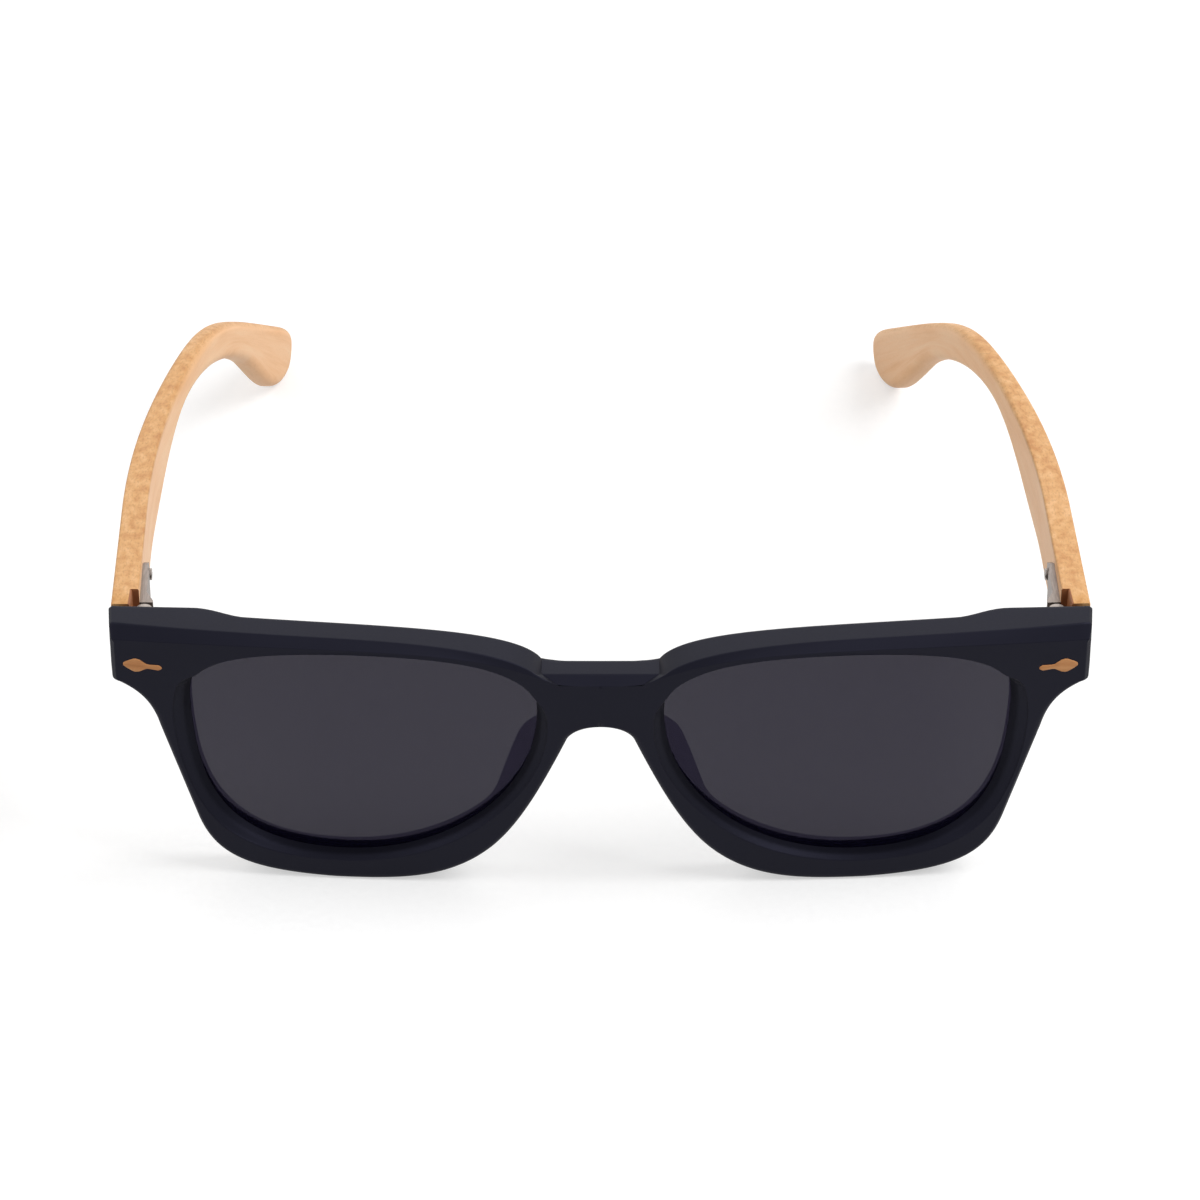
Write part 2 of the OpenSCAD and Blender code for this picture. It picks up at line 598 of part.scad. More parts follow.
// Coil round the rod: one tube of six sides, eight rings a turn.
module flex_spring(s) {
    sides = 6;
    rings = 8 * spring_turns;
    points = [for (i = [0 : rings]) for (k = [0 : sides - 1]) let(
            a = i * 45, b = k * 60, r = coil_r + wire_d / 2 * cos(b))
        [r * cos(a), wire_d / 2 + coil_pitch * i / 8 + wire_d / 2 * sin(b), r * sin(a)]];
    skin = [for (i = [0 : rings - 1]) for (k = [0 : sides - 1]) [i * sides + k,
        i * sides + (k + 1) % sides, (i + 1) * sides + (k + 1) % sides, (i + 1) * sides + k]];
    last = rings * sides;
    on_temple(s) translate([rod_out, spring_y + spring_fit, 0]) polyhedron(points, concat(
        [for (q = skin) [q[0], q[2], q[1]]], [for (q = skin) [q[0], q[3], q[2]]],
        [for (k = [1 : sides - 2]) [0, k, k + 1]],
        [for (k = [1 : sides - 2]) [last, last + k + 1, last + k]]));
}

module flex_spring_left() {
    color("#7d7b79") flex_spring(-1);
}

module flex_spring_right() {
    color("#7d7b79") flex_spring(1);
}

// Outside of the housing with its tapered tail, grown by the fit for the pocket in the wood.
module housing_block(fit) {
    translate([housing_in - fit, housing_start - fit, -housing_h / 2 - fit])
        cube([housing_out - housing_in + 2 * fit, housing_end - housing_start + 2 * fit,
            housing_h + 2 * fit]);
    translate([tail_out - tail_t - fit, 0, 0]) rotate([0, 90, 0])
        linear_extrude(tail_t + 2 * fit) polygon([
            [-housing_h / 2 - fit, housing_end - 0.5], [housing_h / 2 + fit, housing_end - 0.5],
            [housing_h / 2 + fit, housing_end + 0.4], [housing_h / 5 + fit, tail_end + fit],
            [-housing_h / 5 - fit, tail_end + fit], [-housing_h / 2 - fit, housing_end + 0.4]]);
}

// Front end of the housing, which spreads to the width of the knuckles.
module housing_flare() {
    translate([0, 0, -housing_h / 2]) linear_extrude(housing_h) polygon([
        [flare_in, housing_start], [flare_in, housing_start + 0.5],
        [housing_in, housing_start + flare_len], [housing_in + 0.5, housing_start + flare_len],
        [housing_in + 0.5, housing_start]]);
}

// The cavity and the way of the rod are open to the wood, so that the spring drops in.
module spring_housing(s) {
    on_temple(s) difference() {
        union() {
            housing_block(0);
            housing_flare();
        }
        rod_way(cavity_d, spring_y, cavity_end);
        translate([rod_out, spring_y, -cavity_d / 2])
            cube([cavity_d, cavity_end - spring_y, cavity_d]);
        rod_way(rod_d + 2 * run_fit, housing_start - 1, spring_y + 0.5);
        translate([rod_out, housing_start - 1, -rod_d / 2 - run_fit])
            cube([cavity_d, housing_wall + 1.5, rod_d + 2 * run_fit]);
        housing_lead();
        fix_way(fix_d + 2 * seat_fit, 1);
    }
}

// Slope that takes the block down to the tail on the side that shows.
module housing_lead() {
    translate([0, 0, -housing_h]) linear_extrude(2 * housing_h) polygon([
        [housing_in - 1, cavity_end - 1], [housing_in, cavity_end - 1],
        [tail_out - tail_t, housing_end + 0.01], [housing_in - 1, housing_end + 0.01]]);
}

module fix_way(d, from) {
    translate([tail_out - tail_t - from, fix_y, 0]) rotate([0, 90, 0])
        cylinder(d = d, h = from + tail_t + fix_len);
}

module spring_housing_left() {
    color("#a3a19e") spring_housing(-1);
}

module spring_housing_right() {
    color("#a3a19e") spring_housing(1);
}

// Small screw through the tail into the wood.
module housing_screw(s) {
    head_x = tail_out - tail_t - head_t;
    on_temple(s) difference() {
        union() {
            fix_way(fix_d, 0);
            translate([head_x, fix_y, 0]) rotate([0, 90, 0]) cylinder(d = fix_d * 1.8, h = head_t);
        }
        translate([head_x - 0.5, fix_y - fix_d, -slot_w / 2])
            cube([0.5 + head_t / 2, 2 * fix_d, slot_w]);
    }
}

module housing_screw_left() {
    color("#b5b3b0") housing_screw(-1);
}

module housing_screw_right() {
    color("#b5b3b0") housing_screw(1);
}

// Temples

// The plan and the side view cut out of one another, then the room for the hinge.
module temple(s) {
    on_temple(s) difference() {
        translate([-pin_x, -pin_y, -pin_z]) intersection() {
            translate([half_w / 2, 0, 0]) rotate([90, 0, 90]) linear_extrude(half_w) polygon(SIDE);
            translate([0, 0, -1]) linear_extrude(front_h + 2) polygon(PLAN);
        }
        housing_block(seat_fit);
        translate([-pin_in, -pin_back - 1, -front_h])
            cube([pin_in + notch_x, pin_back + 1 + housing_start, 2 * front_h]);
        translate([0, -pin_back - 1, -eye_h / 2 - 0.3])
            cube([arm_out + 0.3, pin_back + 1 + housing_start, eye_h + 0.6]);
        fix_way(fix_d + 2 * seat_fit, 1);
    }
}

module temple_left() {
    color("#d9a06a") temple(-1);
}

module temple_right() {
    color("#d9a06a") temple(1);
}

front_frame();
lens_left();
lens_right();
inlay_left();
inlay_right();
hinge_leaf_left();
hinge_leaf_right();
hinge_screw_left();
hinge_screw_right();
spring_carriage_left();
spring_carriage_right();
spring_stop_left();
spring_stop_right();
flex_spring_left();
flex_spring_right();
spring_housing_left();
spring_housing_right();
housing_screw_left();
housing_screw_right();
temple_left();
temple_right();
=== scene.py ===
"""Sunglasses: a matte black moulded front, smoke lenses and bamboo temples on sprung hinges."""
import math

import bmesh
import bpy
import numpy as np
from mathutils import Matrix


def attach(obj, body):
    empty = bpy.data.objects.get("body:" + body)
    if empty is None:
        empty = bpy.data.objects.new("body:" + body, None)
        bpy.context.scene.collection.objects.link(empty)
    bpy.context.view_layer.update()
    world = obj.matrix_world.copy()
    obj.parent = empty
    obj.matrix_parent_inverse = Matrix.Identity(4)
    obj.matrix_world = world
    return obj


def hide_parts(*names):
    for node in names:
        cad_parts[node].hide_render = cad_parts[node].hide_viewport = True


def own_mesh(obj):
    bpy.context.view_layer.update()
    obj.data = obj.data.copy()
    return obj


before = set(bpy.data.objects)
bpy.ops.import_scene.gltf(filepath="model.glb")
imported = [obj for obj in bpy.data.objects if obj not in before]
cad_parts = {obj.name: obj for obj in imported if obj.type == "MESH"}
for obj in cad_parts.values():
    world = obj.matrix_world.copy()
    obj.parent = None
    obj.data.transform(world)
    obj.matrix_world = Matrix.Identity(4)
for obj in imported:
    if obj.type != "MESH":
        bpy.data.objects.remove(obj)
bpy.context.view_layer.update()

# Sizes in millimetres, the same as those of the solids.
FRONT_H, FRONT_T, HALF_W = 46.6, 5.5, 72.25
TILT, WRAP_R = math.radians(4.3), 650
RIM_LOW, EDGE_R, BEVEL_H, BEVEL_D = 4.6, 0.6, 2, 1.5
LENS_W, LENS_H, LENS_T, LENS_R, LENS_SET, GROOVE, LENS_FIT = 52, 39.2, 1.6, 300, 1.5, 0.8, 0.03
LUG_H, LUG_T, LUG_OUT, PAD_H, PAD_LEAN, PAD_LOW = 10.4, 5.8, 1.05, 4, 0.42, 4.3
FLAT_X, NASAL_X = 8.7, 9.45
BRIDGE_TOP, BRIDGE_LOW, BRIDGE_THIN = 40, 30.6, 0.5
LENS_X, LENS_Z = NASAL_X + LENS_W / 2, RIM_LOW + LENS_H / 2
OUTER_X, LUG_LOW = NASAL_X + LENS_W, FRONT_H - LUG_H
PIN_IN, PIN_BACK, PIN_Z, REST_RIGHT = 4.65, 2.1, 41.6, math.radians(2.6)
ROD_OUT, SPRING_START = 1.7, 3.65
END_GAP, NOTCH_BACK, NOTCH_OUT = 0.3, 2.6, 1.85
TEMPLE_REACH, TEMPLE_STRAIGHT, TEMPLE_FULL, TEMPLE_FALL, TEMPLE_DROP = 143.8, 78, 46, 7.4, 0.05
TEMPLE_ROOT_H, TEMPLE_WAIST_H, TEMPLE_ROOT_T, TEMPLE_TIP_T = 10.4, 4.8, 3.9, 3.5
TEMPLE_SPLAY, BOW_START, BOW_RUN, BOW_R = math.radians(1.6), 30, 49, 236
TIP_TOP_Z, TIP_MID_Z, EAR_BACK, EAR_Z = 11, 4.8, 28.75, 17.45
INLAY_HALF_W, INLAY_HALF_H, INLAY_TAIL, INLAY_TAIL_H = 1.875, 1.25, 3.925, 0.5
INLAY_EDGE, INLAY_SHARE, INLAY_TURN = 1.75, 0.37, math.radians(4)


# Curves and small helpers

def cubic(points, t):
    """Four points weighted by (1-t)^3, 3t(1-t)^2, 3t^2(1-t) and t^3."""
    p, t = np.asarray(points, float), np.asarray(t, float)[:, None]
    return (p[0] * (1 - t) ** 3 + p[1] * 3 * t * (1 - t) ** 2
            + p[2] * 3 * t * t * (1 - t) + p[3] * t ** 3)


def heading(points, t):
    """Direction of the same cubic, made one unit long."""
    p, t = np.asarray(points, float), np.asarray(t, float)[:, None]
    v = (p[1] - p[0]) * (1 - t) ** 2 + (p[2] - p[1]) * 2 * t * (1 - t) + (p[3] - p[2]) * t * t
    return v / np.linalg.norm(v, axis=1, keepdims=True)


def straight(a, b):
    """A straight stretch as a cubic: its inner points at one and two thirds."""
    a, b = np.asarray(a, float), np.asarray(b, float)
    return [a, (2 * a + b) / 3, (a + 2 * b) / 3, b]


def ease(t):
    """From 0 to 1 with level ends: c^2 (3 - 2c)."""
    c = np.clip(t, 0, 1)
    return c * c * (3 - 2 * c)


def mix(a, b, t):
    """Straight blend from a to b."""
    return a + (b - a) * t


def spaced(line, count):
    """Points at even steps along a polyline, by its running length."""
    run = np.append(0, np.cumsum(np.linalg.norm(np.diff(line, axis=0), axis=1)))
    at = np.linspace(0, run[-1], count)
    return np.stack([np.interp(at, run, line[:, k]) for k in range(line.shape[1])], 1)


# The front, seen square on: x from the middle, h from the rim bottom, depth behind the face

LENS = np.array([
    [[-0.5, 0.2], [-0.5, 0.42], [-0.356, 0.495], [0.01, 0.5]],
    [[0.01, 0.5], [0.466, 0.5], [0.497, 0.37], [0.497, 0.2]],
    [[0.497, 0.2], [0.49, -0.185], [0.44, -0.5], [0.07, -0.5]],
    [[0.07, -0.5], [-0.265, -0.5], [-0.5, -0.17], [-0.5, 0.2]]])
LENS = LENS * [LENS_W, LENS_H] + [LENS_X, LENS_Z]


def lens_edge(s):
    """Edge of the lens opening, s from 0 to 4 clockwise from the nose, and its outward normal."""
    s = np.mod(s, 4)
    k = np.floor(s).astype(int)
    hull = LENS[k].transpose(1, 0, 2)
    v = heading(hull, s - k)
    return cubic(hull, s - k), np.stack([-v[:, 1], v[:, 0]], 1)


# Outer edge from the top of the bridge clockwise: cubic, steps, lens places, bevel widths.
RUNS = [
    (straight((0, BRIDGE_TOP), (FLAT_X, BRIDGE_TOP)), 4, (0.22, 0.45), (0.4, 0.15)),
    ([(FLAT_X, BRIDGE_TOP), (FLAT_X + 4.8, FRONT_H + 0.4), (LENS_X + 4.5, FRONT_H - 1.1),
      (HALF_W - 0.4, FRONT_H)], 20, (0.45, 1.6), (0.15, 0.05)),
    (straight((HALF_W - 0.4, FRONT_H), (HALF_W, FRONT_H - 0.4)), 1, (1.6, 1.62), (0.05, 0.1)),
    (straight((HALF_W, FRONT_H - 0.4), (HALF_W, LUG_LOW + 1)), 4, (1.62, 1.76), (0.1, 1.5)),
    ([(HALF_W, LUG_LOW + 1), (HALF_W, LUG_LOW + 0.4), (HALF_W - 0.5, LUG_LOW + 0.2),
      (HALF_W - 1, LUG_LOW)], 2, (1.76, 1.8), (1.5, 1.8)),
    ([(HALF_W - 1, LUG_LOW), (HALF_W - 3.8, LUG_LOW - 1.5), (OUTER_X + 5.2, LUG_LOW - 3.6),
      (OUTER_X + 4.3, LENS_Z + 4.3)], 8, (1.8, 2.06), (1.8, 2.2)),
    (straight((OUTER_X + 4.3, LENS_Z + 4.3), (OUTER_X - 0.6, RIM_LOW + 6.4)),
     6, (2.06, 2.4), (2.2, 1.7)),
    ([(OUTER_X - 0.6, RIM_LOW + 6.4), (OUTER_X - 2.9, RIM_LOW - 1.3), (OUTER_X - 7.4, 0.6),
      (LENS_X + 4.5, 0)], 12, (2.4, 3), (1.7, 0.6)),
    ([(LENS_X + 4.5, 0), (LENS_X - 4.5, 0), (NASAL_X + 13.7, 0), (NASAL_X + 7.1, RIM_LOW + 2.1)],
     10, (3, 3.46), (0.6, 0.8)),
    ([(NASAL_X + 7.1, RIM_LOW + 2.1), (NASAL_X + 2.6, RIM_LOW + 6.7), (NASAL_X - 0.9, LENS_Z - 4.9),
      (NASAL_X - 4.4, BRIDGE_LOW - 2.6)], 12, (3.46, 3.93), (0.8, 1.6)),
    ([(NASAL_X - 4.4, BRIDGE_LOW - 2.6), (NASAL_X - 5, BRIDGE_LOW - 1), (2.5, BRIDGE_LOW),
      (0, BRIDGE_LOW)], 5, (3.93, 4), (1.6, 1.5)),
    (straight((0, BRIDGE_LOW), (0, BRIDGE_TOP)), 4, (4, 4.22), (1.5, 0.4))]
TOP, BROW, CORNER, LUG_END, MIDDLE = 0, 1, 2, 3, 11
CREASE = [(FLAT_X - 2.75, BRIDGE_TOP - 1), (FLAT_X + 9.3, FRONT_H + 0.25 - BEVEL_H),
          (LENS_X - 11.3, FRONT_H + 0.7 - BEVEL_H), (HALF_W - 0.4, FRONT_H - BEVEL_H)]


def bend(flat):
    """Wraps the flat front round a large cylinder and leans it forwards at the brow."""
    x, h, d = flat[..., 0], flat[..., 1], flat[..., 2]
    y = WRAP_R - (WRAP_R - d) * np.cos(x / WRAP_R)
    return np.stack([(WRAP_R - d) * np.sin(x / WRAP_R), y * math.cos(TILT) - h * math.sin(TILT),
                     h * math.cos(TILT) + y * math.sin(TILT)], -1)


LUG_Y = bend(np.array([HALF_W, FRONT_H, LUG_T]))[1]


def lens_depth(p):
    """Depth of the lens: its set plus a shallow bowl, distance squared over twice the radius."""
    return LENS_SET + np.sum((p - [LENS_X, LENS_Z]) ** 2, axis=-1) / (2 * LENS_R)


def pad(p):
    """Height of the nose pads: a swelling that fades to the bridge, the lens bottom and the lens."""
    x, h = p[:, 0], p[:, 1]
    upright = ease((h - RIM_LOW - 4.4) / 8) * ease((BRIDGE_LOW + 1.1 - h) / 8)
    return PAD_H * upright * ease((NASAL_X + 7 - x) / 7)


def lug_share(p):
    """How far a place belongs to the lug: eased over 8 mm outwards and 4 mm upwards."""
    return ease((p[:, 0] - OUTER_X + 8.5) / 8) * ease((p[:, 1] - LUG_LOW + 4) / 4)


def back_depth(p):
    """Depth of the back: even rims, a thinner bridge, swelling nose pads and the flat lug."""
    x, h = p[:, 0], p[:, 1]
    thin = BRIDGE_THIN * ease((FLAT_X + 1 - x) / 4) * ease((h - BRIDGE_LOW + 2) / 4)
    flat = WRAP_R - (WRAP_R - (LUG_Y + h * math.sin(TILT)) / math.cos(TILT)) / np.cos(x / WRAP_R)
    return mix(FRONT_T - thin + pad(p), flat, lug_share(p))


# Rounding of the face's crease and edge: crisp along the brow and the lug, soft round the rims.
CRISP, SOFT = 0.14, 0.5
FINE_MIDDLE = 6


def half_sections(fine, sink=0.0):
    """Section corners of the rim round one half: lens lip, bevel, face, edge, back and groove.

    Returns the corners (place, corner, x/h/depth), how far each is rounded, and the stretch.
    fine multiplies the steps of each stretch. sink takes the lug's back that much forwards, so
    that the sunk hinge leaf stays visible."""
    corners, reaches, runs = [], [], []
    for r, (curve, steps, lens_at, bevel_at) in enumerate(RUNS):
        n = FINE_MIDDLE if r == MIDDLE and fine > 1 else steps * fine
        t = np.arange(n) / n
        p, out = lens_edge(mix(*lens_at, t))
        w = mix(*bevel_at, ease(t))[:, None]
        e, v = cubic(curve, t), heading(curve, t)
        inward = np.stack([v[:, 1], -v[:, 0]], 1)
        turn = np.full((n, 1), EDGE_R)
        if r == MIDDLE:
            inward[:], turn[1:] = (0, 1), 0
        crease, edge = e + inward * turn, turn[:, 0].copy()
        if r == TOP:
            crease = mix(np.array([0, BRIDGE_TOP - 1.1]), np.array(CREASE[0]), t[:, None])
            edge = np.full(n, BEVEL_D)
        if r == BROW:
            # The bevel thins quickly beside the bridge and deepens again towards the lug.
            crease = cubic(CREASE, t)
            edge = BEVEL_D * np.maximum(1 - 20 * t, 0.17 + 0.83 * ease(t / 0.6))
        if r in (CORNER, LUG_END):
            share = np.zeros(n) if r == CORNER else np.clip(t * steps, 0, 1)
            top = np.stack([e[:, 0] - EDGE_R / 2, np.full(n, FRONT_H - BEVEL_H)], 1)
            crease[:, 1] = np.minimum(crease[:, 1], cubic(curve, np.array([1 / steps]))[0, 1])
            crease, edge = mix(top, crease, share[:, None]), mix(BEVEL_D, edge, share)
        if r <= LUG_END:
            turn = EDGE_R * np.minimum(1, 0.5 + 2 * t * (r == LUG_END))[:, None]
        widen = np.outer(LUG_OUT * ease((e[:, 0] - HALF_W + 5) / 4.6), [1, 0])
        a = e + widen
        b = a + inward * turn
        lean = PAD_LEAN * pad(e + [0, PAD_LOW])[:, None]
        lip = lens_depth(p) - LENS_FIT
        rear = lip + LENS_T + 2 * LENS_FIT
        lug = sink * lug_share(e)
        soft = SOFT if r > LUG_END + 1 else CRISP
        # Each corner: place, depth behind the face, rounding.
        cup = [(p, lip, 0.06), (p + out * 0.4 * w, 0.42 * lip, 0.4),
               (p + out * w, 0.2, 0.3), (p + out * (w + 0.1), 0, 0.2)]
        face = [(crease, 0, soft), (e + widen * (edge / LUG_T)[:, None], edge, soft + 0.08)]
        back = [(a + inward * lean, back_depth(a) - turn[:, 0] - lug, 0.4),
                (b + inward * lean, back_depth(b) - lug, 0.4),
                (p + out * (0.9 - lean), back_depth(p + out * 0.9) - lug, 0.25),
                (p + out * (0.2 - lean), back_depth(p) - 0.7, 0.25)]
        groove = [(p, rear, 0.04), (p + out * GROOVE, rear, 0.02), (p + out * GROOVE, lip, 0.02)]
        level = cup + face + back + groove
        corners.append(np.stack([np.column_stack([q, np.broadcast_to(d, n)]) for q, d, _ in level], 1))
        reaches.append(np.tile([reach for _, _, reach in level], (n, 1)))
        runs.append(np.full(n, r))
    return np.concatenate(corners), np.concatenate(reaches), np.concatenate(runs)


COARSE = bend(half_sections(1)[0])
LOW_Z = COARSE[..., 2].min()
TEMPLE_Y = LUG_Y + END_GAP
TIP_Y = TEMPLE_Y + TEMPLE_REACH
MID_Y = (COARSE[..., 1].min() + TIP_Y) / 2
PIN = np.array([HALF_W - PIN_IN, LUG_Y + PIN_BACK])


def seat(points):
    """Stands the bent front on the table and moves the origin under the middle of the object."""
    return points - [0, MID_Y, LOW_Z]


def rounded(corners, reach):
    """Turns each corner of a closed section into a small parabola.

    It leaves one side `reach` before the corner and joins the next `reach` after it, never past
    two fifths of a side, and one supporting point beyond each end keeps the flats flat."""
    before, after = np.roll(corners, 1, 1) - corners, np.roll(corners, -1, 1) - corners

    def cut(side, share, most):
        length = np.maximum(np.linalg.norm(side, axis=2, keepdims=True), 1e-9)
        return side * np.minimum(share * reach[..., None] / length, most)

    a, b = cut(before, 1, 0.4), cut(after, 1, 0.4)
    arc = [corners + a * (1 - t) ** 2 + b * t * t for t in (0, 0.25, 0.5, 0.75, 1)]
    fan = [corners + cut(before, 1.3, 0.47)] + arc + [corners + cut(after, 1.3, 0.47)]
    return np.stack(fan, 2).reshape(len(corners), -1, corners.shape[2])


def lattice(rows, cols, wrap_rows=False, wrap_cols=False):
    """Quads of a grid of points numbered row by row, optionally closed each way."""
    i = np.arange(rows if wrap_rows else rows - 1)[:, None]
    k = np.arange(cols if wrap_cols else cols - 1)[None, :]
    i, k = np.broadcast_arrays(i, k)
    i2, k2 = (i + 1) % rows, (k + 1) % cols
    return np.stack([i * cols + k, i2 * cols + k, i2 * cols + k2, i * cols + k2], -1)


def piece(name, points, faces, body, replaced, material, sharp, grain=None):
    """Puts points in millimetres and faces into a mesh, joins doubles and hangs it on its body.

    grain gives each point its wood coordinates, in millimetres too."""
    mesh = bpy.data.meshes.new(name)
    mesh.from_pydata((np.asarray(points) / 1000).tolist(), [], faces)
    if grain is not None:
        held = mesh.attributes.new("grain", "FLOAT_VECTOR", "POINT")
        held.data.foreach_set("vector", (grain / 1000).ravel())
    work = bmesh.new()
    work.from_mesh(mesh)
    bmesh.ops.remove_doubles(work, verts=work.verts, dist=2e-7)
    bmesh.ops.dissolve_degenerate(work, edges=work.edges, dist=1e-7)
    work.to_mesh(mesh)
    work.free()
    mesh.polygons.foreach_set("use_smooth", np.ones(len(mesh.polygons), bool))
    mesh.set_sharp_from_angle(angle=math.radians(sharp))
    mesh.materials.append(material)
    obj = bpy.data.objects.new(name, mesh)
    bpy.context.scene.collection.objects.link(obj)
    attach(obj, body)
    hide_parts(replaced)
    return obj


# Materials

def hex_colour(text):
    """An sRGB hex value as linear red, green, blue and a full alpha."""
    c = np.array([int(text[i:i + 2], 16) for i in (1, 3, 5)]) / 255
    return tuple(np.where(c <= 0.04045, c / 12.92, ((c + 0.055) / 1.055) ** 2.4)) + (1.0,)


def add(tree, kind, sockets=(), stops=(), **settings):
    """Adds one node and sets its properties or sockets by name.

    sockets are (socket, value) pairs, linked where the value comes out of another node, and stops
    are the (place, hex) pairs of a colour ramp."""
    made = tree.nodes.new(kind)
    for key, value in settings.items():
        if hasattr(made, key):
            setattr(made, key, value)
        else:
            made.inputs[key.replace("_", " ")].default_value = value
    for socket, value in sockets:
        if isinstance(value, bpy.types.NodeSocket):
            tree.links.new(value, made.inputs[socket])
        else:
            made.inputs[socket].default_value = value
    for i, (place, colour) in enumerate(stops):
        points = made.color_ramp.elements
        point = points[i] if i < len(points) else points.new(place)
        point.position, point.color = place, hex_colour(colour)
    return made


def material(name, **sockets):
    """A material with one Principled shader whose constant sockets are set directly."""
    made = bpy.data.materials.new(name)
    made.use_nodes = True
    tree = made.node_tree
    tree.nodes.clear()
    shader = add(tree, "ShaderNodeBsdfPrincipled", **sockets)
    add(tree, "ShaderNodeOutputMaterial", [("Surface", shader.outputs[0])])
    return made, tree, shader


def moulded_nylon():
    """Injection-moulded nylon, spark-eroded tool: near-black navy, dull, with a fine even tooth. Its
    reflections are tinted blue, which is painted bluish light from behind.

    The real tooth is about 0.05 mm, too fine for the render, so it is drawn at 0.25 mm."""
    # The blue specular tint paints bluish light from behind into the reflections.
    made, tree, shader = material("moulded_black_nylon", IOR=1.53, Specular_IOR_Level=0.2,
                                  Specular_Tint=hex_colour("#cfd0ff"))
    where = add(tree, "ShaderNodeTexCoord").outputs["Object"]
    tooth = add(tree, "ShaderNodeTexNoise", [("Vector", where)],
                Scale=4000, Detail=2, Roughness=0.6).outputs["Fac"]
    cloud = add(tree, "ShaderNodeTexNoise", [("Vector", where)], Scale=90, Detail=3).outputs["Fac"]
    black = add(tree, "ShaderNodeValToRGB", [("Fac", cloud)], [(0.3, "#050508"), (0.7, "#08080d")])
    dull = add(tree, "ShaderNodeMapRange", [("Value", tooth)], To_Min=0.46, To_Max=0.6)
    bump = add(tree, "ShaderNodeBump", [("Height", tooth)], Strength=0.15, Distance=0.00003)
    tree.links.new(black.outputs["Color"], shader.inputs["Base Color"])
    tree.links.new(dull.outputs["Result"], shader.inputs["Roughness"])
    tree.links.new(bump.outputs["Normal"], shader.inputs["Normal"])
    return made


def smoke_lens():
    """Cast polycarbonate, grey tint: dark, see-through, clear gloss with a faint hard-coat haze."""
    made, tree, shader = material("smoke_polycarbonate", IOR=1.586, Specular_IOR_Level=0.23,
                                  Specular_Tint=hex_colour("#d0c0ff"), Alpha=0.825,
                                  Base_Color=hex_colour("#0c0a1c"))
    where = add(tree, "ShaderNodeTexCoord").outputs["Object"]
    haze = add(tree, "ShaderNodeTexNoise", [("Vector", where)], Scale=120, Detail=2).outputs["Fac"]
    gloss = add(tree, "ShaderNodeMapRange", [("Value", haze)], To_Min=0.06, To_Max=0.1)
    tree.links.new(gloss.outputs["Result"], shader.inputs["Roughness"])
    return made


# Darker brown for the notch's sawn faces: partly their end grain, partly painted shade of the notch's
# recess.
SAWN_GRAIN_AND_SHADE = "#9c6440"


def bamboo(name, face, edge, speck):
    """Strip-laminated bamboo, sanded and clear-coated: pale faces, a warmer top edge with flecks.

    Wood coordinates run across, along and down from the top edge, and below zero on sawn faces. These
    take a darker brown that is partly end grain and partly painted shade of the notch's recess.
    Fibres are drawn 0.5 mm wide and 14 mm long, cloudy bands 3.5 mm by 20 mm, mottling 1.3 mm by
    2.2 mm, and flecks 0.3 mm by 0.8 mm, twice the real ones."""
    made, tree, shader = material(name, IOR=1.5, Specular_IOR_Level=0.22,
                                  Coat_Weight=0.05, Coat_Roughness=0.25)
    where = add(tree, "ShaderNodeAttribute", attribute_name="grain").outputs["Vector"]
    patterns = []
    for across, along, detail in ((0.5, 14, 3), (3.5, 20, 2), (1.3, 2.2, 2), (0.3, 0.8, 2)):
        turned = add(tree, "ShaderNodeMapping", [("Vector", where)],
                     Scale=(1000 / across, 1000 / along, 1000 / across))
        drawn = add(tree, "ShaderNodeTexNoise", [("Vector", turned.outputs[0])],
                    Scale=1.0, Detail=detail)
        patterns.append(drawn.outputs["Fac"])
    fibre, cloud, mottle, fleck = patterns
    tone = add(tree, "ShaderNodeMix", [(0, 0.3), (2, cloud), (3, fibre)]).outputs[0]
    spotted = add(tree, "ShaderNodeMix", [(0, 0.65), (2, cloud), (3, mottle)]).outputs[0]
    face_tone = add(tree, "ShaderNodeValToRGB", [("Fac", tone)],
                    zip((0.28, 0.5, 0.72), face)).outputs["Color"]
    edge_tone = add(tree, "ShaderNodeValToRGB", [("Fac", spotted)],
                    zip((0.34, 0.5, 0.66), edge)).outputs["Color"]
    below = add(tree, "ShaderNodeSeparateXYZ", [("Vector", where)]).outputs["Z"]
    inward = add(tree, "ShaderNodeMapRange", [("Value", below)],
                 From_Min=0.0001, From_Max=0.0009).outputs["Result"]
    # Sawn faces of the notch, which take the darker brown: end grain with painted shade of the recess.
    sawn_shaded = add(tree, "ShaderNodeMapRange", [("Value", below)],
               From_Min=-0.0002, From_Max=-0.0008).outputs["Result"]
    dark = add(tree, "ShaderNodeMapRange", [("Value", fleck)],
               From_Min=0.5, From_Max=0.7).outputs["Result"]
    strength = add(tree, "ShaderNodeMapRange", [("Value", inward)],
                   To_Min=0.42, To_Max=0.08).outputs["Result"]
    flecked = add(tree, "ShaderNodeMath", [(0, dark), (1, strength)], operation="MULTIPLY").outputs[0]
    wood = edge_tone
    for share, over in ((inward, face_tone), (flecked, hex_colour(speck)), (sawn_shaded, hex_colour(SAWN_GRAIN_AND_SHADE))):
        wood = add(tree, "ShaderNodeMix", [(0, share), (6, wood), (7, over)],
                   data_type="RGBA").outputs[2]
    dull = add(tree, "ShaderNodeMapRange", [("Value", fibre)], To_Min=0.42, To_Max=0.58)
    bump = add(tree, "ShaderNodeBump", [("Height", fibre)], Strength=0.1, Distance=0.00004)
    tree.links.new(wood, shader.inputs["Base Color"])
    tree.links.new(dull.outputs["Result"], shader.inputs["Roughness"])
    tree.links.new(bump.outputs["Normal"], shader.inputs["Normal"])
    return made


